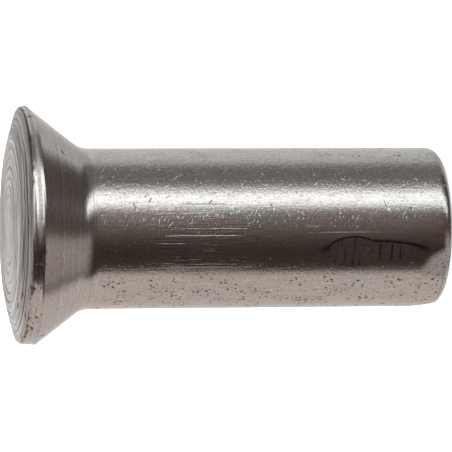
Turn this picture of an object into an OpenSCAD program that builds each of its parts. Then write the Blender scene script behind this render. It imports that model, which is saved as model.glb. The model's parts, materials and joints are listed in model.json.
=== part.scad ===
// Countersunk rivet, cold headed from round steel wire, one solid piece.
// It stands on its sheared end with the head up. The origin is the middle of that
// end face, +Z runs up the shank, and +X is the way the punch struck off centre.

/* [Shank] */
// Diameter of the shank
shank_d = 12; // [10:0.5:14]
// Height of the crown's edge above the sheared end
body_length = 31.85; // [26:0.05:40]
// Rounding where the shank meets its end face
end_round = 1; // [0.4:0.1:1.2]

/* [Seat] */
// Included angle of the countersunk seat
cone_angle = 75; // [60:1:90]
// Radius of the hollow where the seat runs into the shank
neck_round = 2; // [1:0.1:3]

/* [Rim] */
// Diameter of the head over its rim
rim_d = 17.8; // [16.5:0.1:19]
// Mean height of the straight land under the crown's edge
land_h = 0.78; // [0.7:0.01:1.1]
// How far the punch struck off the wire's axis, which widens the land on one side
strike_offset = 0.29; // [0:0.01:0.35]
// How far the punch leaned over
strike_lean = 0.7; // [0:0.1:0.8]
// Which way the punch leaned, from +X
strike_turn = 60; // [0:1:359]
// Rounding of the crown's edge
rim_round = 0.25; // [0.1:0.05:0.3]

/* [Crown] */
// Rise of the crown above its edge
crown_rise = 0.88; // [0.6:0.02:1.2]
// Diameter of the flattened middle of the crown
plateau_d = 12.2; // [9:0.1:13]
// Bulge of the flattened middle
plateau_bulge = 0.17; // [0.05:0.01:0.3]
// Rings that the punch's turned face printed on the crown
ring_count = 11; // [0:1:11]
// Distance from one ring to the next
ring_pitch = 0.72; // [0.4:0.02:0.74]
// Depth of a ring
ring_depth = 0.035; // [0.02:0.005:0.06]

/* [Sheared end] */
// Height up the shank to which the shear pulled one side down
pull_reach = 2.35; // [1:0.05:4]
// Radius of the pulled down side, seen from beside it
pull_bow = 13; // [8:0.5:30]
// Angle at which the pulled down side leaves the shank
pull_lean = 5.7; // [3:0.1:10]

/* [Cutter mark] */
// Height of the cutter mark's middle above the end
mark_z = 6; // [6:0.1:12]
// Length of the cutter mark along the shank
mark_length = 8; // [4:0.1:8]
// Depth of the cutter mark at its middle
mark_depth = 0.06; // [0.04:0.01:0.1]
// Height of the heel, where the cutter bit deeper
heel_z = 7.6; // [6:0.1:12]
// Length of the heel along the shank
heel_length = 4.2; // [2:0.1:5]
// Depth of the heel at its middle
heel_depth = 0.11; // [0.06:0.01:0.2]
// Way round the shank to the mark, from +X
mark_turn = 252; // [0:1:359]
// Steps that the chattering cutter left across the mark
mark_steps = 9; // [0:1:11]
// Depth of a step below the mark's floor
step_depth = 0.015; // [0.005:0.005:0.03]

/* [Hidden] */
$fn = 128;
shank_r = shank_d / 2;
rim_r = rim_d / 2;
seat_half = cone_angle / 2;

// Where the seat's cone would meet the bare shank
seat_z = body_length - land_h - (rim_r - shank_r) / tan(seat_half);
// Length of the hollow along the shank, from that corner
neck_reach = neck_round * tan(seat_half / 2);
neck_low = [shank_r, seat_z - neck_reach];
neck_high = [shank_r, seat_z] + neck_reach * [sin(seat_half), cos(seat_half)];

plateau_r = plateau_d / 2;
skirt_rise = crown_rise - plateau_bulge;
skirt_slope = atan(skirt_rise / (rim_r - plateau_r));
dome_r = (pow(plateau_r, 2) + pow(plateau_bulge, 2)) / (2 * plateau_bulge);
crown_top = body_length + crown_rise;
// Radius of a ring's round bottom
ring_tip = 0.3;
// Radius of a step's round bottom
step_nose = 1.6;
// How much a cutting shape reaches past what it cuts
clear = 1;

// Height of the crown over a point at radius r
function crown_z(r) = r < plateau_r
    ? crown_top - dome_r + sqrt(pow(dome_r, 2) - pow(r, 2))
    : body_length + (rim_r - r) * tan(skirt_slope);

// Depth of a round bite at a height z, from its middle, length and full depth
function bite_fall(z, middle, length, depth) = depth * (1 - pow((z - middle) / (length / 2), 2));

// Radius of the round tool that leaves a bite of that length and depth
function bite_r(length, depth) = (pow(length / 2, 2) + pow(depth, 2)) / (2 * depth);

// Half section of all that the die shapes about the wire's axis
module die_section() {
    difference() {
        union() {
            polygon([
                [0, 0],
                [shank_r, 0],
                [shank_r, seat_z],
                [shank_r + (crown_top - seat_z) * tan(seat_half), crown_top],
                [0, crown_top],
            ]);
            neck_section();
        }
        end_round_section();
    }
}

// The hollow between shank and seat, with a root inside the shank
module neck_section() {
    difference() {
        polygon([
            [shank_r - clear, neck_low.y],
            neck_low,
            neck_high,
            [shank_r - clear, neck_high.y],
        ]);
        translate([shank_r + neck_round, neck_low.y]) circle(neck_round);
    }
}

// What the rounding takes off the corner of the end
module end_round_section() {
    translate([shank_r - end_round, 0]) difference() {
        translate([0, -clear]) square(end_round + clear);
        translate([0, end_round]) circle(end_round);
    }
}

// Half section of what the punch shapes: a straight rim under the ringed crown
module punch_section() {
    difference() {
        union() {
            polygon([
                [0, -clear],
                [rim_r, -clear],
                [rim_r, body_length],
                [plateau_r, body_length + skirt_rise],
                [0, body_length + skirt_rise],
            ]);
            plateau_section();
        }
        rim_round_section();
        for (ring = [1:1:ring_count])
            translate([ring * ring_pitch, crown_z(ring * ring_pitch) + ring_tip - ring_depth])
                circle(ring_tip);
    }
}

// The flattened middle of the crown, a cap of a large circle
module plateau_section() {
    intersection() {
        translate([0, crown_top - dome_r]) circle(dome_r, $fn = 720);
        translate([0, body_length]) square([plateau_r, crown_rise + clear]);
    }
}

// What the rounding takes off the crown's edge, between the normals of skirt and land
module rim_round_section() {
    centre = [rim_r - rim_round, body_length - rim_round * tan(45 - skirt_slope / 2)];
    reach = rim_round + clear;
    difference() {
        translate(centre) polygon([
            [0, 0],
            [reach, 0],
            [reach, reach],
            reach * [sin(skirt_slope), cos(skirt_slope)],
        ]);
        translate(centre) circle(rim_round);
    }
}

// The rolled side that the shear pulled down at the end, as a tool
module pull_down() {
    centre_x = pull_bow * cos(pull_lean) - shank_r;
    centre_z = pull_reach + pull_bow * sin(pull_lean);
    difference() {
        translate([-shank_r - clear, -shank_r, -clear])
            cube([shank_r, shank_d, pull_reach + clear]);
        translate([centre_x, 0, centre_z]) rotate([90, 0, 0])
            cylinder(r = pull_bow, h = shank_d + 2 * clear, center = true);
    }
}

// Moves and leans a shape about the middle of the crown's edge, as the punch did
module struck() {
    translate([strike_offset, 0, body_length])
        rotate(strike_turn) rotate([0, strike_lean, 0])
            translate([0, 0, -body_length]) children();
}

// A round tool lying across the shank, whose edge comes as near the axis as reach
module cross_tool(reach, z, r) {
    translate([reach + r, 0, z]) rotate([90, 0, 0]) cylinder(r = r, h = shank_d, center = true);
}

// The cutter mark, a long shallow bite with a deeper heel and a row of steps in its floor
module cutter_mark() {
    rotate(mark_turn) {
        cross_tool(shank_r - mark_depth, mark_z, bite_r(mark_length, mark_depth));
        cross_tool(shank_r - heel_depth, heel_z, bite_r(heel_length, heel_depth));
        for (i = [1:1:mark_steps]) {
            z = mark_z + ((2 * i - 1) / mark_steps - 1) * mark_length / 2;
            fall = max(bite_fall(z, mark_z, mark_length, mark_depth),
                bite_fall(z, heel_z, heel_length, heel_depth));
            cross_tool(shank_r - fall - step_depth, z, step_nose);
        }
    }
}

module rivet() {
    color("#a89c94") difference() {
        intersection() {
            rotate_extrude() die_section();
            struck() rotate_extrude() punch_section();
        }
        pull_down();
        cutter_mark();
    }
}

rivet();
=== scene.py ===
import json
import math
import random
import bmesh
import bpy
from mathutils import Matrix, Vector, kdtree, noise


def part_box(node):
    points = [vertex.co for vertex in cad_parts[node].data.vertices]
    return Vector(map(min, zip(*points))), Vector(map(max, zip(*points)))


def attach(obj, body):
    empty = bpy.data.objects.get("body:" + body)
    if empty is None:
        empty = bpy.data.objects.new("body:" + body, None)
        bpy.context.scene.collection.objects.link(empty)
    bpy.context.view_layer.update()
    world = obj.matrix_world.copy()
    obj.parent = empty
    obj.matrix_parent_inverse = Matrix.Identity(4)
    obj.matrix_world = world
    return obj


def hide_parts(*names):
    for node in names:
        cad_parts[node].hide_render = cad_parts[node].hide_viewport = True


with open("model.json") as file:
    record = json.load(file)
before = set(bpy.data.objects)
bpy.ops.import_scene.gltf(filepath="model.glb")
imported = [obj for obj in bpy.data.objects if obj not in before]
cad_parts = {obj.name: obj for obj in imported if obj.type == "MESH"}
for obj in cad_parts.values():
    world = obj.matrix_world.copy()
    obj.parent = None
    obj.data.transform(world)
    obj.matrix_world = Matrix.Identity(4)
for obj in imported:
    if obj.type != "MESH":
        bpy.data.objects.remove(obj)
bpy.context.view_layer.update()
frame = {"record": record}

# The view. The camera looks a little down on the standing rivet, from its cutter mark's
# side, and lies on its side, so that the head points to the left of the picture.
AIM = Vector((0.000148, -0.002875, 0.016714))
CAMERA_DISTANCE = 0.300
CAMERA_RISE = math.radians(10.74)
CAMERA_ROLL = math.radians(0.32)
CAMERA_LENS = 322.0
CAMERA_SENSOR = 36
CAMERA_NEAR = 0.01

forward = Vector((0, math.cos(CAMERA_RISE), -math.sin(CAMERA_RISE)))
upward = Matrix.Rotation(CAMERA_ROLL, 3, forward) @ Vector((1, 0, 0))
rightward = forward.cross(upward)
camera = bpy.data.objects.new("camera", bpy.data.cameras.new("camera"))
bpy.context.scene.collection.objects.link(camera)
camera.data.sensor_width = CAMERA_SENSOR
camera.data.lens = CAMERA_LENS
camera.data.clip_start = CAMERA_NEAR
camera.matrix_world = Matrix.Translation(AIM - CAMERA_DISTANCE * forward) @ Matrix(
    (rightward, upward, -forward)).transposed().to_4x4()
bpy.context.scene.camera = camera

# The rivet, one solid of plain steel. A piece of round drawn wire was sheared off and its
# top upset in a die, which shaped shank, neck and seat about the wire's axis. Sizes from
# here to the finish of the steel are in millimetres.
MM = 1000
SHANK_R = frame["record"]["mounts"][0]["dims"]["r_mm"]
RIM_R = 8.9
SEAT_HALF = math.radians(75 / 2)
NECK_ROUND = 2.0
END_ROUND = 1.0
LAND_H = 0.78
SOLID_CROWN_RISE = 0.88
CROWN_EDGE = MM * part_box("rivet")[1].z - SOLID_CROWN_RISE
CROWN_RISE = 0.75
CROWN_TOP = CROWN_EDGE + CROWN_RISE
RIM_ROUND = 0.16
PLATEAU_R = 6.25
PLATEAU_BULGE = 0.13
SKIRT_BULGE = 0.06
END_STEP = 0.25
SHANK_STEP = 0.3
SEAT_STEP = 0.11
LAND_STEP = 0.07
SKIRT_STEP = 0.05
PLATEAU_STEP = 0.058
END_ARC_STEPS = 12
NECK_ARC_STEPS = 10
RIM_ARC_STEPS = 6
SPIN_STEPS = 240
MERGE_GAP = 0.0005
EDGE_TOLERANCE = 0.001

seat_z = CROWN_EDGE - LAND_H - (RIM_R - SHANK_R) / math.tan(SEAT_HALF)
neck_low = Vector((SHANK_R, seat_z - NECK_ROUND * math.tan(SEAT_HALF / 2)))
neck_centre = neck_low + Vector((NECK_ROUND, 0))
neck_high = neck_centre + NECK_ROUND * Vector((-math.cos(SEAT_HALF), math.sin(SEAT_HALF)))
land_low = Vector((RIM_R, CROWN_EDGE - LAND_H))
skirt_slope = math.atan((CROWN_RISE - PLATEAU_BULGE) / (RIM_R - PLATEAU_R))
dome_r = (PLATEAU_R ** 2 + PLATEAU_BULGE ** 2) / (2 * PLATEAU_BULGE)
rim_centre = Vector((RIM_R - RIM_ROUND,
                     CROWN_EDGE - RIM_ROUND * math.tan((math.pi / 2 - skirt_slope) / 2)))


def eased(value, start, stop):
    """Climbs smoothly from 0 at start to 1 at stop."""
    share = min(1, max(0, (value - start) / (stop - start)))
    return share * share * (3 - 2 * share)


def crown_z(radius):
    """Height of the smooth crown at a distance from its own axis. The skirt's bulge is a cubic."""
    if radius < PLATEAU_R:
        return CROWN_TOP - dome_r + math.sqrt(dome_r ** 2 - radius ** 2)
    share = (RIM_R - radius) / (RIM_R - PLATEAU_R)
    bulge = SKIRT_BULGE * (27 / 4) * share ** 2 * (1 - share)
    return CROWN_EDGE + share * (CROWN_RISE - PLATEAU_BULGE) + bulge


def stretch(start, stop, step):
    """Even steps from one number or point to another, without the last."""
    gap = stop - start
    count = max(1, round((gap.length if isinstance(gap, Vector) else abs(gap)) / step))
    return [start + gap * (k / count) for k in range(count)]


def bend(centre, radius, start, stop, count):
    """Points of an arc of the half section, angles from straight out, without its last."""
    angles = [start + (stop - start) * k / count for k in range(count)]
    return [centre + radius * Vector((math.cos(a), math.sin(a))) for a in angles]


skirt_low = rim_centre + RIM_ROUND * Vector((math.sin(skirt_slope), math.cos(skirt_slope)))
half_section = (
    stretch(Vector((0, 0)), Vector((SHANK_R - END_ROUND, 0)), END_STEP)
    + bend(Vector((SHANK_R - END_ROUND, END_ROUND)), END_ROUND, -math.pi / 2, 0, END_ARC_STEPS)
    + stretch(Vector((SHANK_R, END_ROUND)), neck_low, SHANK_STEP)
    + bend(neck_centre, NECK_ROUND, math.pi, math.pi - SEAT_HALF, NECK_ARC_STEPS)
    + stretch(neck_high, land_low, SEAT_STEP)
    + stretch(land_low, Vector((RIM_R, rim_centre.y)), LAND_STEP)
    + bend(rim_centre, RIM_ROUND, 0, math.pi / 2 - skirt_slope, RIM_ARC_STEPS)
    + [Vector((r, crown_z(r))) for r in stretch(skirt_low.x, PLATEAU_R, SKIRT_STEP)]
    + [Vector((r, crown_z(r))) for r in stretch(PLATEAU_R, 0, PLATEAU_STEP)]
    + [Vector((0, CROWN_TOP))]
)

work = bmesh.new()
corners = [work.verts.new((p.x, 0, p.y)) for p in half_section]
edges = [work.edges.new(pair) for pair in zip(corners, corners[1:])]
bmesh.ops.spin(work, geom=corners + edges, cent=(0, 0, 0), axis=(0, 0, 1), dvec=(0, 0, 0),
               angle=2 * math.pi, steps=SPIN_STEPS, use_merge=True, use_normal_flip=False,
               use_duplicate=False)
bmesh.ops.remove_doubles(work, verts=work.verts, dist=MERGE_GAP)
bmesh.ops.recalc_face_normals(work, faces=work.faces)
# The grime layer darkens the steel. It holds dirt in the pocked land and darkening in marks and dents,
# and also painted shade in the crown's rings, beside its ridge and along its rounded edge.
grime_and_shade = work.verts.layers.float.new("grime_and_shade")
rough = work.verts.layers.float.new("rough")

# The cutter mark, a long shallow bite with a deeper heel, that a tool took out of the shank.
# The tool chattered, so the bite's floor has steps and fine ridges across the shank, darker
# where they cut deepest, and the steel is darker along its upper edge.
MARK_TURN = math.radians(252)
MARK_BITES = (
    # height of the middle, length and depth
    (6.0, 8.0, 0.06),
    (7.6, 4.2, 0.11),
)
MARK_LOW = MARK_BITES[0][0] - MARK_BITES[0][1] / 2
MARK_HIGH = MARK_BITES[0][0] + MARK_BITES[0][1] / 2
MARK_STEPS = 9
STEP_NOSE = 1.6
STEP_DEPTH = 0.015
RIDGE_PITCH = 0.22
RIDGE_DEPTH = 0.02
RIDGE_BEND = 0.3
RIDGE_SLICE = 4.0
PATCH_ALONG = 0.9
PATCH_ACROSS = 0.5
PATCH_SLICE = 9.0
MARK_FLOOR_BITE = (0, 0.03)
MARK_FLOOR_LOW = (2.6, 3.6)
MARK_FLOOR_HIGH = (9.6, 9.0)
MARK_FLOOR_ROUGH = 0.25
MARK_FLOOR_DARKENING = 2.5
LIP_DEPTH = 0.03
LIP_BITE = 0.004
LIP_WIDTH = 0.014
LIP_SIDE = (-0.3, 0.4)
LIP_DARKENING = 1.2
MARK_MARGIN = 0.5
MARK_SKIN = 0.01
MARK_HALF_ANGLE = math.radians(16)
MARK_CUTS = 3

mark_out = Vector((math.cos(MARK_TURN), math.sin(MARK_TURN), 0))
mark_across = Vector((0, 0, 1)).cross(mark_out)


def near_mark(place):
    """Whether a point of the shank lies in the patch that holds the mark."""
    along = MARK_LOW - MARK_MARGIN < place.z < MARK_HIGH + MARK_MARGIN
    outside = SHANK_R - EDGE_TOLERANCE < Vector((place.x, place.y)).length < SHANK_R + EDGE_TOLERANCE
    return along and outside and place.dot(mark_out) > SHANK_R * math.cos(MARK_HALF_ANGLE)


def mark_fall(z):
    """Depth of the bites at a height."""
    return max(depth * (1 - ((z - middle) / (length / 2)) ** 2) for middle, length, depth in MARK_BITES)


def mark_steps(z):
    """How far the steps reach below the bites' floor at a height."""
    depth = 0
    for k in range(MARK_STEPS):
        step_z = MARK_LOW + (2 * k + 1) / (2 * MARK_STEPS) * (MARK_HIGH - MARK_LOW)
        off = min(STEP_NOSE, abs(z - step_z))
        nose = STEP_NOSE - math.sqrt(STEP_NOSE ** 2 - off ** 2)
        depth = max(depth, mark_fall(step_z) + STEP_DEPTH - nose - mark_fall(z))
    return depth


patch = [edge for edge in work.edges if all(near_mark(vert.co) for vert in edge.verts)]
bmesh.ops.subdivide_edges(work, edges=patch, cuts=MARK_CUTS, use_grid_fill=True)
for vert in work.verts:
    place = vert.co.copy()
    out = Vector((place.x, place.y)).length
    on_patch = MARK_LOW - 2 * MARK_MARGIN < place.z < MARK_HIGH + 2 * MARK_MARGIN
    if not on_patch or out < SHANK_R - MARK_SKIN or place.dot(mark_out) < 0:
        continue
    vert.co.xy *= SHANK_R / out
    bite = vert.co.dot(mark_out) - SHANK_R + mark_fall(place.z)
    side = place.dot(mark_across)
    ridge = noise.noise(Vector((place.z / RIDGE_PITCH, side * RIDGE_BEND, RIDGE_SLICE)))
    patchy = 0.5 + noise.noise(Vector((place.z * PATCH_ALONG, side * PATCH_ACROSS, PATCH_SLICE)))
    if bite > 0:
        inside = eased(bite, *MARK_FLOOR_BITE) * eased(place.z, *MARK_FLOOR_LOW)
        inside = inside * eased(place.z, *MARK_FLOOR_HIGH)
        extra = mark_steps(place.z) + RIDGE_DEPTH * (0.5 + patchy) * max(0, ridge)
        vert.co -= (bite + extra * inside) * mark_out
        vert[grime_and_shade] = inside * min(1, MARK_FLOOR_DARKENING * max(0, ridge) * (0.4 + patchy))
        vert[rough] = MARK_FLOOR_ROUGH * inside
    lip = math.exp(-((bite - LIP_BITE) / LIP_WIDTH) ** 2) * eased(side, *LIP_SIDE)
    vert.co -= LIP_DEPTH * lip * mark_out
    vert[grime_and_shade] = max(vert[grime_and_shade], LIP_DARKENING * lip)

# The blow that headed it. The punch sat a little off the wire's axis and leaned over, and
# squeezed the seat a little oval, so the land under the crown's edge is of uneven width. The
# punch's turned face printed its rings on the crown.
STRIKE_OFFSET = Vector((0.29, 0))
STRIKE_LEAN = math.radians(0.7)
STRIKE_TURN = math.radians(60)
SEAT_OVAL = 0.22
RING_PITCH = 0.72
RING_DEPTH = 0.035
RING_TIP = 0.3
RING_WANDER = 0.16
RING_STRENGTH = 0.7
RING_UNEVEN = 1.2
RING_GROWTH = (-0.5, 4.5)
RING_SPREAD = 1.7
RING_SLICE = 3.7
WANDER_GROWTH = (0, 4)
WANDER_SPREAD = 1.3
WANDER_OUT = 0.4
RIDGE_R = 6.32
RIDGE_HALF = 0.085
RIDGE_HEIGHT = 0.045
RIM_TAPER = 0.09
FINE_PITCH = 0.24
FINE_DEPTH = 0.018
FINE_SPREAD = 0.9
LAND_ROUGH = 0.02
LAND_GRIME = 0.3
POCK_SPREAD = 26
POCK_UP = 2.5
LAND_MIDDLE_LOW = (0.8, 0.6)
LAND_MIDDLE_HIGH = (0.2, 0.45)
LAND_DULL_SIDE = (-0.3, 0.0)
RING_SHADE = 1.8
RIDGE_FOOT_SHADE = 1.1
EDGE_WIDTH = 1.3 * RIM_ROUND
RIM_EDGE_SHADE = 0.5
RIM_EDGE_SHADE_SIDE = (-0.3, 0.1)
RIM_TOP_SHADE = 0.8
RIM_TOP_SHADE_SIDE = (0.3, 0.7)

strike_pivot = Vector((*STRIKE_OFFSET, CROWN_EDGE))
strike_way = Matrix.Rotation(STRIKE_TURN, 3, "Z")
strike_lean = strike_way @ Matrix.Rotation(STRIKE_LEAN, 3, "Y") @ strike_way.transposed()


def leaned(flat, z):
    """Where the punch's lean takes a point of its own upright form."""
    return strike_pivot + strike_lean @ (Vector((flat.x, flat.y, z)) - strike_pivot)


def ring_depth(radius, outward):
    """Depth of the printed rings at a distance from the crown's own axis."""
    if radius > RIM_R - 2 * RIM_ROUND:
        return 0
    drift = noise.noise(Vector((*(outward * WANDER_SPREAD), radius * WANDER_OUT)))
    wander = radius + RING_WANDER * drift * eased(radius, *WANDER_GROWTH)
    count = round(wander / RING_PITCH)
    across = abs(wander - count * RING_PITCH)
    uneven = noise.noise(Vector((*(outward * RING_SPREAD), count * RING_SLICE)))
    strength = (RING_STRENGTH + RING_UNEVEN * uneven) * eased(radius, *RING_GROWTH)
    fine = noise.noise(Vector((wander / FINE_PITCH, *(outward * FINE_SPREAD))))
    ridge = math.exp(-((radius - RIDGE_R) / RIDGE_HALF) ** 2)
    depth = FINE_DEPTH * max(0, fine) - RIDGE_HEIGHT * ridge
    if count > 0 and across < RING_TIP:
        bottom = math.sqrt(RING_TIP ** 2 - across ** 2) - RING_TIP
        depth += max(0, bottom + RING_DEPTH * strength)
    return depth


for vert in work.verts:
    place = vert.co.copy()
    radius = Vector((place.x, place.y)).length
    if place.z <= neck_high.y + EDGE_TOLERANCE:
        continue
    outward = Vector((place.x, place.y)).normalized()
    rim_point = STRIKE_OFFSET + RIM_R * outward
    oval = SEAT_OVAL * 2 * outward.x * outward.y
    rim_z = seat_z + (rim_point.length - SHANK_R) / math.tan(SEAT_HALF) + oval
    if place.z < land_low.y - EDGE_TOLERANCE:
        share = (radius - neck_high.x) / (RIM_R - neck_high.x)
        flat = (neck_high.x * outward).lerp(rim_point, share)
        cone_z = seat_z + (flat.length - SHANK_R) / math.tan(SEAT_HALF)
        vert.co = flat.to_3d() + Vector((0, 0, cone_z + oval * share ** 2))
    elif radius > RIM_R - EDGE_TOLERANCE:
        share = (rim_centre.y - place.z) / (rim_centre.y - land_low.y)
        middle = eased(share, *LAND_MIDDLE_HIGH) * eased(share, *LAND_MIDDLE_LOW)
        top = leaned(STRIKE_OFFSET + (radius - RIM_TAPER) * outward, rim_centre.y)
        pock = max(0, noise.noise(Vector((*(outward * POCK_SPREAD), place.z * POCK_UP))))
        vert.co = top.lerp(Vector((rim_point.x, rim_point.y, rim_z)), share)
        vert.co -= (LAND_ROUGH * middle * pock * outward).to_3d()
        vert[rough] = middle * eased(outward.x, *LAND_DULL_SIDE)
        vert[grime_and_shade] = LAND_GRIME * middle * pock
    else:
        depth = ring_depth(radius, outward)
        reach = radius - RIM_TAPER * eased(radius, PLATEAU_R, RIM_R)
        vert.co = leaned(STRIKE_OFFSET + reach * outward, place.z - depth)
        # Painted shade on the crown: the rings' grooves darker by their depth, and a dark line along
        # the outer foot of the ridge at the plateau's edge.
        ridge_foot = math.exp(-((radius - RIDGE_R - 2 * RIDGE_HALF) / RIDGE_HALF) ** 2)
        vert[grime_and_shade] = min(1, max(0, RING_SHADE * depth / RING_DEPTH, RIDGE_FOOT_SHADE * ridge_foot))
        # Painted shade along the crown's rounded edge: none on the -X side, more towards +X, and most
        # on the +X side.
        if radius > RIM_R - EDGE_WIDTH:
            rim_edge_shade = RIM_EDGE_SHADE * eased(outward.x, *RIM_EDGE_SHADE_SIDE)
            vert[grime_and_shade] = rim_edge_shade + RIM_TOP_SHADE * eased(outward.x, *RIM_TOP_SHADE_SIDE)

# The sheared end. The shear rolled one side of the wire over before it parted, and tore the
# face itself, which stands on its high spots.
PULL_REACH = 2.35
PULL_BOW = 13.0
PULL_LEAN = math.radians(5.7)
TEAR_DEPTH = 0.07
TEAR_INNER_R = 3.5
TEAR_ALONG = 0.5
TEAR_ACROSS = 1.6
TEAR_SLICE = 2.0

pull_centre = Vector((PULL_BOW * math.cos(PULL_LEAN) - SHANK_R,
                      PULL_REACH + PULL_BOW * math.sin(PULL_LEAN)))

for vert in work.verts:
    if vert.co.z < PULL_REACH:
        limit = pull_centre.x - math.sqrt(PULL_BOW ** 2 - (vert.co.z - pull_centre.y) ** 2)
        vert.co.x = max(vert.co.x, limit)
    if vert.co.z < EDGE_TOLERANCE:
        inside = eased(Vector((vert.co.x, vert.co.y)).length, SHANK_R - END_ROUND, TEAR_INNER_R)
        tear = noise.noise(Vector((vert.co.x * TEAR_ALONG, vert.co.y * TEAR_ACROSS, TEAR_SLICE)))
        vert.co.z += TEAR_DEPTH * inside * max(0, tear)
        vert[rough] = inside

# Wear. The rivet has knocked about in a bin with others: the crown's edge is nicked and
# bruised all round, most of all on the low side, and the shank is not quite true.
NICK_SEED = 11
NICK_COUNT = 70
NICK_SIZES = (0.12, 0.34)
NICK_DEPTH = 0.16
NICK_SIDE = math.pi * 1.12
NICK_SPREAD = 1.3
NICK_DROPS = (0.02, 0.05, 0.12, 0.9 * LAND_H)
NICK_DROP_SPREAD = (0.6, 1.2)
NICK_WAY_IN = 0.1
NICK_FALL = 1.4
NICK_DARKENING = 0.8
BLOW_SLANT = Vector((0, 0, 0.6))
BRUISES = (
    # degrees round the head, way in from the crown's edge, half length, half width and lean
    (-31, 0.15, 0.16, 0.12, 0),
    (-43, 1.45, 0.34, 0.08, -10),
    (-59, -0.40, 0.24, 0.10, 20),
    (-62, -0.15, 0.16, 0.09, 0),
    (-69, -0.05, 0.18, 0.10, 0),
    (-70, -1.45, 0.42, 0.09, 35),
    (64, -0.45, 0.36, 0.10, 70),
    (2, 0.95, 0.14, 0.10, 0),
    (17, 1.60, 0.16, 0.08, 10),
    (47, -2.60, 0.18, 0.09, 20),
    (-52, 0.60, 0.34, 0.07, 15),
    (-57, 1.90, 0.38, 0.07, -5),
    (-75, 0.25, 0.30, 0.08, 20),
    (-50, -0.65, 0.18, 0.10, 60),
)
BRUISE_DEPTH = 0.06
BRUISE_DARKENING = 2.0
BRUISE_REACH = 2.5
WAVE_DEPTH = 0.012
WAVE_LENGTH = 4.0
WAVE_STRETCH = 0.4
WAVE_START = (END_ROUND, 3)
WAVE_STOP = (0, 2)

random.seed(NICK_SEED)
tree = kdtree.KDTree(len(work.verts))
for index, vert in enumerate(work.verts):
    tree.insert(vert.co, index)
tree.balance()
work.verts.ensure_lookup_table()
nicks = []
for k in range(NICK_COUNT):
    turn = random.gauss(NICK_SIDE, NICK_SPREAD)
    outward = Vector((math.cos(turn), math.sin(turn)))
    drop = random.choice(NICK_DROPS) * random.uniform(*NICK_DROP_SPREAD)
    reach = RIM_R - NICK_WAY_IN * random.random()
    centre = leaned(STRIKE_OFFSET + reach * outward, CROWN_EDGE - drop)
    nicks.append((centre, random.uniform(*NICK_SIZES), outward.to_3d() + BLOW_SLANT))
# Each nick is pressed in and darkened by how deep it presses.
for centre, size, outward in nicks:
    for place, index, gap in tree.find_range(centre, 2 * size):
        press = math.exp(-(NICK_FALL * gap / size) ** 2)
        work.verts[index].co -= NICK_DEPTH * size * press * outward
        work.verts[index][grime_and_shade] = max(work.verts[index][grime_and_shade], NICK_DARKENING * press)

# Each bruise is pressed in and darkened by how deep it presses.
for turn, way_in, length, width, lean in BRUISES:
    turn = math.radians(turn)
    cosine = math.cos(math.radians(lean))
    sine = math.sin(math.radians(lean))
    outward = Vector((math.sin(turn), -math.cos(turn)))
    onward = Vector((math.cos(turn), math.sin(turn), 0))
    drop = max(0, -way_in)
    reach = RIM_R - max(0, way_in) - max(0, drop - LAND_H) * math.tan(SEAT_HALF)
    centre = leaned(STRIKE_OFFSET + reach * outward, crown_z(RIM_R - max(0, way_in)) - drop)
    inward = -outward.to_3d() if way_in > 0 else Vector((0, 0, 1))
    for place, index, gap in tree.find_range(centre, BRUISE_REACH * length):
        round_head = (place - centre).dot(onward)
        over_head = (place - centre).dot(inward)
        along = round_head * cosine + over_head * sine
        across = over_head * cosine - round_head * sine
        press = math.exp(-(along / length) ** 2 - (across / width) ** 2)
        work.verts[index].co -= BRUISE_DEPTH * press * (outward.to_3d() + BLOW_SLANT)
        work.verts[index][grime_and_shade] = max(work.verts[index][grime_and_shade], BRUISE_DARKENING * press)

for vert in work.verts:
    if END_ROUND < vert.co.z < neck_low.y:
        outward = Vector((vert.co.x, vert.co.y, 0)).normalized()
        wave = noise.noise(Vector((vert.co.x, vert.co.y, vert.co.z * WAVE_STRETCH)) / WAVE_LENGTH)
        fade = eased(vert.co.z, *WAVE_START) * eased(neck_low.y - vert.co.z, *WAVE_STOP)
        vert.co -= WAVE_DEPTH * fade * (0.5 + wave) * outward

bmesh.ops.scale(work, vec=(1 / MM,) * 3, verts=work.verts)
rivet_mesh = bpy.data.meshes.new("rivet_body")
work.to_mesh(rivet_mesh)
work.free()
rivet_mesh.shade_smooth()
rivet = bpy.data.objects.new("rivet_body", rivet_mesh)
bpy.context.scene.collection.objects.link(rivet)


# The steel is bare and uncoated: bright where the die burnished it, dulled by handling,
# scratched, and pitted with small dark specks.
class Wire:
    """A socket's value in a node sheet, on which Python's operators add Math nodes."""

    def __init__(self, sheet, socket):
        self.sheet = sheet
        self.socket = socket

    def math(self, operation, *values):
        return self.sheet.add("ShaderNodeMath", {"operation": operation}, dict(enumerate(values)))

    def __add__(self, other):
        return self.math("ADD", self, other)

    def __radd__(self, other):
        return self.math("ADD", other, self)

    def __sub__(self, other):
        return self.math("SUBTRACT", self, other)

    def __rsub__(self, other):
        return self.math("SUBTRACT", other, self)

    def __mul__(self, other):
        return self.math("MULTIPLY", self, other)

    def __rmul__(self, other):
        return self.math("MULTIPLY", other, self)

    def __truediv__(self, other):
        return self.math("DIVIDE", self, other)

    def __pow__(self, other):
        return self.math("POWER", self, other)

    def __neg__(self):
        return self.math("MULTIPLY", self, -1)

    def size(self):
        return self.math("ABSOLUTE", self)

    def most(self, other):
        return self.math("MAXIMUM", self, other)

    def rise(self, start, stop):
        """Climbs smoothly from 0 at start to 1 at stop, or falls where stop is the lower."""
        flip = start > stop
        settings = {"interpolation_type": "SMOOTHSTEP", "clamp": False}
        sockets = {"Value": self, "From Min": min(start, stop), "From Max": max(start, stop),
                   "To Min": float(flip), "To Max": float(not flip)}
        return self.sheet.add("ShaderNodeMapRange", settings, sockets)


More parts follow.
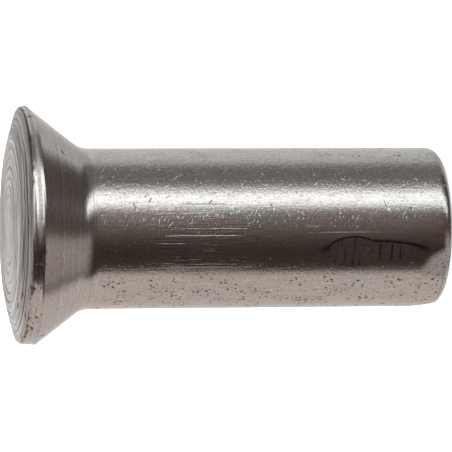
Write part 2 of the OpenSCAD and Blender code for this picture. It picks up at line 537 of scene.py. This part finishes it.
class Sheet:
    """The node tree of one finish, with one way to add a node."""

    def __init__(self, tree):
        self.tree = tree
        tree.nodes.clear()

    def add(self, kind, settings=None, sockets=None, out=0):
        node = self.tree.nodes.new(kind)
        for name, value in (settings or {}).items():
            setattr(node, name, value)
        for name, value in (sockets or {}).items():
            if isinstance(value, Wire):
                self.tree.links.new(value.socket, node.inputs[name])
            else:
                node.inputs[name].default_value = value
        return Wire(self, node.outputs[out])

    def parts(self, vector):
        """The three numbers of a vector."""
        return [self.add("ShaderNodeSeparateXYZ", None, {"Vector": vector}, out) for out in range(3)]

    def vector(self, x, y, z):
        return self.add("ShaderNodeCombineXYZ", None, {"X": x, "Y": y, "Z": z})

    def grain(self, vector, scale, detail=2.0, rough=0.5):
        """Cloudy noise from 0 to 1."""
        sockets = {"Vector": vector, "Scale": scale, "Detail": detail, "Roughness": rough}
        return self.add("ShaderNodeTexNoise", {"noise_dimensions": "3D"}, sockets)

    def lines(self, value, scale, detail=3.0, rough=0.6):
        """Noise along one number, from 0 to 1."""
        sockets = {"W": value, "Scale": scale, "Detail": detail, "Roughness": rough}
        return self.add("ShaderNodeTexNoise", {"noise_dimensions": "1D"}, sockets)

    def cells(self, u, v, size):
        """One random point in each cell of a surface: steps to it, its distance and two numbers."""
        spot = self.vector(u / size, v / size, 0.0)
        settings = {"voronoi_dimensions": "2D", "feature": "F1"}
        sockets = {"Vector": spot, "Scale": 1.0, "Randomness": 1.0}
        distance, colour, centre = [self.add("ShaderNodeTexVoronoi", settings, sockets, out)
                                    for out in range(3)]
        step = self.add("ShaderNodeVectorMath", {"operation": "SUBTRACT"}, {0: spot, 1: centre})
        return self.parts(step)[:2], distance, self.parts(colour)[:2]

    def stored(self, name):
        """A number that the mesh holds at each of its points."""
        return self.add("ShaderNodeAttribute", {"attribute_name": name}, None, 2)

    def blend(self, share, first, second):
        """A colour between two others."""
        sockets = {0: share, 6: first, 7: second}
        return self.add("ShaderNodeMix", {"data_type": "RGBA"}, sockets, 2)

    def finish(self, kind, shader):
        """Leads a shader to the tree's output."""
        self.tree.links.new(shader.socket, self.tree.nodes.new(kind).inputs["Surface"])


STEEL = (0.47, 0.44, 0.415, 1)
STEEL_BROWN = (0.40, 0.33, 0.29, 1)
STEEL_COOL = (0.44, 0.45, 0.44, 1)
WORN = (0.29, 0.257, 0.225, 1)
DIRT_AND_SHADE = (0.085, 0.066, 0.054, 1)
SCRATCHES = (
    # cell, lean, spread of the lean, half width and half length
    (0.34, 0.0, 1.7, 0.05, 0.17),
    (0.55, 0.3, 1.5, 0.05, 0.30),
    (0.8, -0.3, 1.5, 0.055, 0.42),
    (1.9, -0.5, 0.9, 0.05, 0.75),
)
PITS = (
    # squeeze along the shank, cell, smallest and largest radius
    (0.5, 0.2, 0.01, 0.066),
    (0.7, 0.36, 0.02, 0.1),
)
DRAG_LINES = (
    # arc round the shank from -Y, lower and upper end, width and depth
    (-0.534, 15.5, 22.4, 0.035, 0.014),
    (-0.02, 14.9, 21.9, 0.025, 0.008),
    (-1.13, 17.7, 23.1, 0.025, 0.008),
    (-1.56, 17.2, 20.1, 0.03, 0.006),
    (-1.72, 17.3, 20.0, 0.02, 0.006),
    (1.17, 16.0, 20.3, 0.03, 0.008),
    (0.90, 16.9, 19.6, 0.025, 0.008),
    (1.81, 16.8, 21.0, 0.03, 0.012),
    (-3.02, 15.7, 22.3, 0.03, 0.01),
    (0.13, 6.6, 12.3, 0.025, 0.007),
    (-0.34, 4.0, 12.3, 0.02, 0.006),
)
GOUGES = (
    # arc round the shank from -Y, height, half length and lean in degrees
    (1.68, 5.19, 0.54, 20),
    (1.63, 24.03, 0.40, 26),
    (1.62, 13.80, 0.34, 28),
    (1.25, 8.81, 0.30, 38),
    (1.40, 3.30, 0.22, 45),
    (2.10, 22.90, 0.30, -35),
    (1.95, 18.40, 0.26, -40),
)
GOUGE_HALF_WIDTH = 0.055
# Roughness of the polished steel, and what each kind of wear adds
ROUGHNESS = 0.16
MOTTLE_DULLNESS = 0.06
CROWN_DULLNESS = 0.14
TORN_DULLNESS = 0.25
PIT_DULLNESS = 0.2
WORN_DULLNESS = 0.4
# How far each kind of mark lightens or darkens the steel
SPECKLE_TONE = 0.9
WORN_SPECKLE_TONE = 0.8
DRAWN_TONE = 0.5
RING_TONE = 1.5
SKIRT_RING_TONE = 2.4
SKIRT_LINE_TONE = 0.4
SKIRT_LIGHT_TONE = 0.14
SKIRT_DARK_TONE = 0.08
SEAT_TONE = 1.1
SHADE_LINE_TONE = 0.3
# How much of a colour each place takes on
MOTTLE_BROWN = 0.5
SKIRT_BROWN = 0.6
END_BROWN = 0.6
COOL_SHARE = 0.5
WORN_SHARE = 0.7
STREAK_DIRT = 0.35
PIT_DIRT = 0.95
CHIP_DIRT = 0.7
CREASE_SHADE = 0.6
# Depths and sizes of the relief
CROWN_LINE_DEPTH = 0.04
SEAT_LINE_DEPTH = 0.006
DRAWN_LINE_DEPTH = 0.004
DRAGGED_LINE_DEPTH = 0.02
TORN_DEPTH = 0.02
SPECKLE_DEPTH = 0.004
SHANK_SPECKLE_DEPTH = 0.005
UPPER_SPECKLE_DEPTH = 0.007
SCRATCH_DEPTH = 0.008
SCRATCH_BASE = 0.35
SCRATCH_UPPER = 1.3
DRAG_STRENGTH = 1.1
GOUGE_DEPTH = 0.03
PIT_DEPTH = 0.01
PIT_EDGE = 0.05
PIT_RAGGEDNESS = 0.14
CHIP_DEPTH = 0.05
CHIP_SQUEEZE = 0.6
CHIP_SIZES = (0.25, 0.01, 0.085)
CREASE_DEPTH = 0.02
# Places, each from where it starts to where it is full
CROWN_SPAN = (CROWN_EDGE - 0.15, CROWN_EDGE - 0.02)
SHANK_SPAN = (neck_low.y + 0.5, neck_low.y - 0.5)
LOW_SIDE = (3.0, 4.6)
HIGH_SIDE = (4.2, 5.4)
HIGH_SIDE_HEIGHT = (15.0, 9.0)
UPPER_SIDE = (1.7, 2.9)
SKIRT_SPAN = (5.9, 6.4)
SKIRT_LINE_SPAN = (6.2, 6.6)
SKIRT_BROWN_SPAN = (6.2, 7.8)
SKIRT_LIGHT = (7.6, 6.6)
SKIRT_DARK = (7.4, 8.4)
END_BROWN_LOW = (4.2, 1.5)
END_BROWN_ARC = (1.3, 0.5)
STREAK_SIDE = (4.7, 5.3)
DRAGGED_ARC = (3.0, 1.2)
CHIP_BAND = (1.2, 0.3)
CHIP_SIDE = (1.0, 5.0)
CREASE_SIDE = (2.2, 3.0)
CREASE_FRONT = (-0.5, 0.5)
DRAGGED_LOW = (14.0, 16.5)
DRAGGED_HIGH = (24.0, 21.5)
WORN_START = 1.4
WORN_HEIGHT = 3.0
WORN_HALFWAY = 0.52
WORN_EDGE = (-0.2, 0.85)
WORN_FRONT = (-1.1, -2.4)
WORN_BACK = (-4.4, -3.0)
SHADE_LINE_TURN = 3.26
SHADE_LINE_LOW = (2.0, 3.5)
SHADE_LINE_HIGH = (27.2, 26.0)
CREASE_HEIGHT = 0.55
LINE_HALF_WIDTH = 0.06
LINE_FADE = 1.2

steel = bpy.data.materials.new("rivet_steel")
steel.use_nodes = True
sheet = Sheet(steel.node_tree)
metres = sheet.add("ShaderNodeTexCoord", out="Object")
place = sheet.add("ShaderNodeVectorMath", {"operation": "SCALE"}, {"Vector": metres, "Scale": MM})
x, y, z = sheet.parts(place)
round_about = x.math("ARCTAN2", x, -y) * SHANK_R
drift = sheet.grain(place, 0.3) - 0.5
rho = ((x - STRIKE_OFFSET.x) ** 2.0 + y * y) ** 0.5 + 0.4 * drift
on_crown = z.rise(*CROWN_SPAN)
on_shank = z.rise(*SHANK_SPAN)
on_seat = (1 - on_crown) * (1 - on_shank)
low_side = (-x).rise(*LOW_SIDE)
high_side = x.rise(*HIGH_SIDE) * z.rise(*HIGH_SIDE_HEIGHT)
dirt_and_shade = sheet.stored("grime_and_shade")
torn = sheet.stored("rough")


def strokes(size, lean, spread, width, length):
    """Short straight scratches, one in each cell, that lean about one direction."""
    (du, dz), _, (first, second) = sheet.cells(round_about, z, size)
    turn = (first - 0.5) * spread + lean
    cosine = turn.math("COSINE", turn)
    sine = turn.math("SINE", turn)
    across = dz * cosine - du * sine
    along = dz * sine + du * cosine
    kept = across.size().rise(width / size, 0.0) * along.size().rise(length / size, 0.0)
    return kept * second ** 2.0


def pits(u, v, size, small, large, crowd):
    """Small dark pits of uneven size, of which a share given by crowd is there."""
    ragged = PIT_RAGGEDNESS * sheet.grain(place, 9.0)
    _, distance, (first, second) = sheet.cells(u + ragged, v + ragged, size)
    kept = (crowd - first).rise(0.0, PIT_EDGE)
    reach = second ** 2.0 * ((large - small) / size) + small / size
    return kept * (reach - distance).rise(0.0, PIT_EDGE)


ring_lines = sheet.lines(rho + 0.3 * drift, 2.4, detail=5.0, rough=0.75)
skirt_lines = sheet.lines(rho + 0.5 * drift, 2.3).rise(0.5, 0.6) * rho.rise(*SKIRT_LINE_SPAN)
seat_lines = sheet.lines(z + 0.3 * drift, 7.0, detail=4.0, rough=0.7)
drawn_lines = sheet.grain(sheet.vector(round_about, 0.0, z * 0.07), 8.0)
speckle = sheet.grain(place, 5.5, detail=3.0, rough=0.7)
mottle = sheet.grain(sheet.vector(x, y, z * 0.5), 0.9, detail=4.0, rough=0.6)
patches = sheet.grain(sheet.vector(x, y, z * 0.4), 0.5, detail=3.0)

upper = round_about.rise(*UPPER_SIDE) * on_shank
scratch = strokes(*SCRATCHES[0])
for kind in SCRATCHES[1:]:
    scratch = scratch + strokes(*kind)
scratch = scratch * (SCRATCH_BASE + mottle.rise(0.4, 0.65) + SCRATCH_UPPER * upper)
dragged = (z.rise(*DRAGGED_LOW) * z.rise(*DRAGGED_HIGH)
           * (round_about + 1.0).size().rise(*DRAGGED_ARC))
worn_down = (-round_about - WORN_START).most(0.0)
worn_reach = WORN_HEIGHT * worn_down / (worn_down + WORN_HALFWAY)
worn_end = (worn_reach - z).rise(*WORN_EDGE)
worn_end = worn_end * round_about.rise(*WORN_BACK) * round_about.rise(*WORN_FRONT)
cluster = sheet.grain(sheet.vector(round_about, z * 0.7, 0.0), 1.0).rise(0.45, 0.6)
crowd = on_shank * (cluster * (0.02 + 1.2 * low_side + 0.5 * high_side)
                    + 0.06 * low_side + 0.4 * worn_end)
pit_kinds = [pits(round_about, z * squeeze, size, small, large, crowd)
             for squeeze, size, small, large in PITS]
pit = pit_kinds[0].most(pit_kinds[1])
streak = drawn_lines.rise(0.5, 0.62) * mottle.rise(0.45, 0.6) * on_shank * x.rise(*STREAK_SIDE)
rim_arc = x.math("ARCTAN2", x, -y) * RIM_R
down_rim = z - CROWN_EDGE + on_crown * (RIM_R - rho)
crowd = ((down_rim + 0.1).size().rise(*CHIP_BAND) * (1 - on_shank)
         * (0.1 + 0.5 * (-x).rise(*CHIP_SIDE)))
chip = pits(rim_arc * CHIP_SQUEEZE, down_rim, *CHIP_SIZES, crowd)
# A painted dark line along the shank at a fixed way round from -Y: the painted reflection of the dark
# gap at the table's edge.
shade_line = ((round_about + SHADE_LINE_TURN + 0.2 * drift).size().rise(LINE_HALF_WIDTH, 0.0)
        * z.rise(*SHADE_LINE_LOW) * z.rise(*SHADE_LINE_HIGH))
# A fine crease round the end's rounding on the -X, -Y side, pressed in by the bump and painted dark as
# shade.
crease = ((z - CREASE_HEIGHT + 0.3 * drift).size().rise(LINE_HALF_WIDTH, 0.0)
          * (-x).rise(*CREASE_SIDE) * (-y).rise(*CREASE_FRONT))

faint = sheet.grain(sheet.vector(round_about * 8.0, 0.0, z), 0.5, detail=3.0).rise(0.25, 0.6)
drag = 0.0
for line_u, line_low, line_high, width, depth in DRAG_LINES:
    wobble = 0.06 * (sheet.lines(z + 7 * line_u, 0.5, detail=2.0) - 0.5)
    line = (round_about - line_u + wobble).size().rise(width, 0.0)
    line = line * z.rise(line_low, line_low + LINE_FADE) * z.rise(line_high, line_high - LINE_FADE)
    drag = line * depth + drag
drag = drag * faint
for line_u, line_z, length, lean in GOUGES:
    cosine = math.cos(math.radians(lean))
    sine = math.sin(math.radians(lean))
    du = round_about - line_u
    dz = z - line_z
    across = (dz * cosine - du * sine).size().rise(GOUGE_HALF_WIDTH, 0.0)
    along = (dz * sine + du * cosine).size().rise(length, 0.3 * length)
    drag = across * along * GOUGE_DEPTH + drag

relief = (on_crown * ring_lines * CROWN_LINE_DEPTH
          + on_seat * seat_lines * SEAT_LINE_DEPTH
          + on_shank * drawn_lines * (DRAWN_LINE_DEPTH + DRAGGED_LINE_DEPTH * dragged)
          + torn * sheet.grain(place, 5.0, detail=3.0) * TORN_DEPTH
          + speckle * (SPECKLE_DEPTH + SHANK_SPECKLE_DEPTH * on_shank + UPPER_SPECKLE_DEPTH * upper)
          - (0.1 + 0.9 * on_shank) * scratch * SCRATCH_DEPTH
          - on_shank * drag * DRAG_STRENGTH
          - pit * PIT_DEPTH
          - chip * CHIP_DEPTH
          - crease * CREASE_DEPTH)
bump = sheet.add("ShaderNodeBump", None, {"Strength": 1.0, "Distance": 1 / MM, "Height": relief})
brown = (mottle.rise(0.45, 0.75) * MOTTLE_BROWN + on_crown * rho.rise(*SKIRT_BROWN_SPAN) * SKIRT_BROWN
         + z.rise(*END_BROWN_LOW) * round_about.size().rise(*END_BROWN_ARC) * END_BROWN)
skirt = rho.rise(*SKIRT_SPAN)
tone = (1 + (SPECKLE_TONE + WORN_SPECKLE_TONE * worn_end) * (speckle - 0.5)
        + DRAWN_TONE * on_shank * (drawn_lines - 0.5)
        + on_crown * ((RING_TONE + SKIRT_RING_TONE * skirt) * (ring_lines - 0.5)
                      - SKIRT_LINE_TONE * skirt_lines)
        + on_crown * skirt * (SKIRT_LIGHT_TONE * rho.rise(*SKIRT_LIGHT)
                              - SKIRT_DARK_TONE * rho.rise(*SKIRT_DARK))
        + SEAT_TONE * on_seat * (seat_lines - 0.5) - SHADE_LINE_TONE * shade_line)
colour = sheet.blend(brown.rise(0.0, 1.0), STEEL, STEEL_BROWN)
colour = sheet.blend(patches.rise(0.5, 0.65) * COOL_SHARE, colour, STEEL_COOL)
colour = sheet.blend(worn_end * WORN_SHARE, colour, WORN)
colour = sheet.blend(streak * STREAK_DIRT, colour, DIRT_AND_SHADE)
colour = sheet.add("ShaderNodeVectorMath", {"operation": "SCALE"}, {"Vector": colour, "Scale": tone})
# The grime layer's dirt, darkening and painted shade, laid on as a dark colour.
colour = sheet.blend((dirt_and_shade * (0.4 + 0.6 * speckle)).rise(0.0, 1.0), colour, DIRT_AND_SHADE)
# Dark specks of pits and chips, and the crease's painted shade.
specks_and_crease_shade = (pit * PIT_DIRT).most(chip * CHIP_DIRT).most(crease * CREASE_SHADE)
colour = sheet.blend(specks_and_crease_shade, colour, DIRT_AND_SHADE)
shader = sheet.add("ShaderNodeBsdfPrincipled", None, {
    "Base Color": colour,
    "Metallic": 1 - WORN_DULLNESS * worn_end,
    "Roughness": (ROUGHNESS + MOTTLE_DULLNESS * mottle + CROWN_DULLNESS * on_crown
                  + TORN_DULLNESS * torn + PIT_DULLNESS * pit + WORN_DULLNESS * worn_end),
    "Normal": bump,
})
sheet.finish("ShaderNodeOutputMaterial", shader)
rivet_mesh.materials.append(steel)

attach(rivet, "root")
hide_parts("rivet")

# The floor is a plain matt white board, wide enough to fill every view. The metal does not
# show it: what the metal shows below the horizon is the studio's.
FLOOR_HALF = 3.0
FLOOR_COLOUR = (0.8, 0.8, 0.8, 1)
FLOOR_GLOW = 0.85
WHITE = (1, 1, 1, 1)

board = bmesh.new()
bmesh.ops.create_grid(board, x_segments=1, y_segments=1, size=FLOOR_HALF)
floor_mesh = bpy.data.meshes.new("floor")
board.to_mesh(floor_mesh)
board.free()
floor = bpy.data.objects.new("floor", floor_mesh)
bpy.context.scene.collection.objects.link(floor)
floor.visible_glossy = False
paper = bpy.data.materials.new("floor_white")
paper.use_nodes = True
sheet = Sheet(paper.node_tree)
matt = sheet.add("ShaderNodeBsdfDiffuse", None, {"Color": FLOOR_COLOUR})
glow = sheet.add("ShaderNodeEmission", None, {"Color": WHITE, "Strength": FLOOR_GLOW})
sheet.finish("ShaderNodeOutputMaterial", sheet.add("ShaderNodeAddShader", None, {0: matt, 1: glow}))
floor_mesh.materials.append(paper)

# The studio: a white sweep behind and below, a white table to one side, a dim room on the
# camera's side, and one tall soft box a little to the side of the camera.
SWEEP = (0.85, 0.85, 0.85, 1)
SWEEP_LEFT = (1.35, 1.35, 1.35, 1)
SWEEP_RIGHT = (0.8, 0.8, 0.8, 1)
SWEEP_HIGH = (0.5, 0.5, 0.5, 1)
SWEEP_LOW = (0.64, 0.62, 0.61, 1)
TABLE = (0.82, 0.74, 0.70, 1)
ROOM_DARK = (0.063, 0.047, 0.041, 1)
ROOM_WARM = (0.235, 0.19, 0.165, 1)
ROOM_GREY = (0.27, 0.26, 0.25, 1)
UNDER = (0.13, 0.11, 0.10, 1)
SOFT_BOX = (2.32, 2.43, 2.47, 1)
# The sweep's edge: how far off it stands, and how it draws back below and comes on above
SWEEP_OFF = 0.18
SWEEP_BACK = 0.35
SWEEP_ON = 0.45
SWEEP_EDGE = (-0.06, 0.06)
SWEEP_SIDE = (-0.7, -0.1)
SWEEP_TURN = (-0.1, 0.08)
# Directions in which things stand: degrees above the horizon, and round from the camera
SWEEP_TOP = (38, 14)
SWEEP_HORIZON = (8, -4)
SWEEP_FOOT = (-14, -26)
SWEEP_WHITE = (-35, -60)
TABLE_TOP = (75, 40)
BOX_LEFT = (64, 46)
BOX_RIGHT = (23, 40)
BOX_LOW = (-76, -62)
BOX_HIGH = (40, 20)
HIGH_BOX_RIGHT = (0, 14)
HIGH_BOX_LOW = (-6, 4)
HIGH_BOX_HIGH = (85, 70)
ROOM_BRIGHTENS = (-32, 14)
ROOM_GREYS = (10, 60)
# The white table fills all directions beyond this plane, with a dark gap along its edge
TABLE_AHEAD = 0.748
TABLE_SIDE = 0.437
TABLE_DOWN = 0.5
TABLE_EDGE = (-0.05, 0.05)
GAP_START = (-0.12, -0.09)
GAP_STOP = (-0.03, -0.055)
# Where the table's near part shows below, and where it is dark under the rivet
BELOW_DEPTH = (0.6, 0.97)
BELOW_SIDE = (0.05, 0.17)
BELOW_STRENGTH = 0.55
UNDER_DEPTH = (0.45, 0.8)

world = bpy.data.worlds.new("studio")
world.use_nodes = True
bpy.context.scene.world = world
sheet = Sheet(world.node_tree)
direction = sheet.add("ShaderNodeTexCoord", out="Generated")
side, away, up = sheet.parts(direction)
ahead = -away
down = (-up).most(0.0)
around = side.math("ARCTAN2", side, ahead) * math.degrees(1)
over = up.math("ARCSINE", up) * math.degrees(1)
sweep_edge = away - SWEEP_OFF - SWEEP_BACK * down + SWEEP_ON * up.most(0.0)
sweep = sweep_edge.rise(*SWEEP_EDGE) * side.rise(*SWEEP_SIDE)
table_edge = -TABLE_AHEAD * ahead - TABLE_SIDE * side - TABLE_DOWN * down
table = table_edge.rise(*TABLE_EDGE) * over.rise(*TABLE_TOP)
gap = table_edge.rise(*GAP_START) * table_edge.rise(*GAP_STOP)
soft_box = around.rise(*BOX_RIGHT) * around.rise(*BOX_LEFT) * over.rise(*BOX_LOW) * over.rise(*BOX_HIGH)
high_box = (around.rise(*HIGH_BOX_RIGHT) * around.rise(*BOX_LEFT)
            * over.rise(*HIGH_BOX_LOW) * over.rise(*HIGH_BOX_HIGH))
below = down.rise(*BELOW_DEPTH) * (-side).rise(*BELOW_SIDE) * (1 - gap)
room_light = sheet.blend(around.rise(*ROOM_GREYS), ROOM_WARM, ROOM_GREY)
room = sheet.blend(around.rise(*ROOM_BRIGHTENS), ROOM_DARK, room_light)
sweep_light = sheet.blend(side.rise(*SWEEP_TURN), SWEEP_LEFT, SWEEP_RIGHT)
sweep_light = sheet.blend(over.rise(*SWEEP_TOP), SWEEP_HIGH, sweep_light)
sweep_light = sheet.blend(over.rise(*SWEEP_HORIZON), sweep_light, SWEEP)
sweep_light = sheet.blend(over.rise(*SWEEP_FOOT), sweep_light, SWEEP_LOW)
colour = sheet.blend(down.rise(*UNDER_DEPTH), room, UNDER)
colour = sheet.blend(below * BELOW_STRENGTH, colour, TABLE)
colour = sheet.blend(table, colour, TABLE)
colour = sheet.blend(sweep, colour, sweep_light)
colour = sheet.blend(soft_box.most(high_box), colour, SOFT_BOX)
rays = sheet.add("ShaderNodeLightPath", out="Is Camera Ray")
glossy = sheet.add("ShaderNodeLightPath", out="Is Glossy Ray")
through = sheet.add("ShaderNodeLightPath", out="Is Transmission Ray")
shown = rays.most(through).most(glossy * sweep * over.rise(*SWEEP_WHITE))
colour = sheet.blend(shown, colour, WHITE)
sheet.finish("ShaderNodeOutputWorld", sheet.add("ShaderNodeBackground", None, {"Color": colour}))

TOP_LAMP_HEIGHT = 0.6
TOP_LAMP_SIZE = 0.5
TOP_LAMP_POWER = 1.6
lamp = bpy.data.lights.new("top_lamp", "AREA")
lamp.shape = "DISK"
lamp.size = TOP_LAMP_SIZE
lamp.energy = TOP_LAMP_POWER
top_lamp = bpy.data.objects.new("top_lamp", lamp)
top_lamp.location = (0, 0, TOP_LAMP_HEIGHT)
top_lamp.visible_glossy = False
bpy.context.scene.collection.objects.link(top_lamp)

bpy.context.scene.view_settings.view_transform = "Standard"
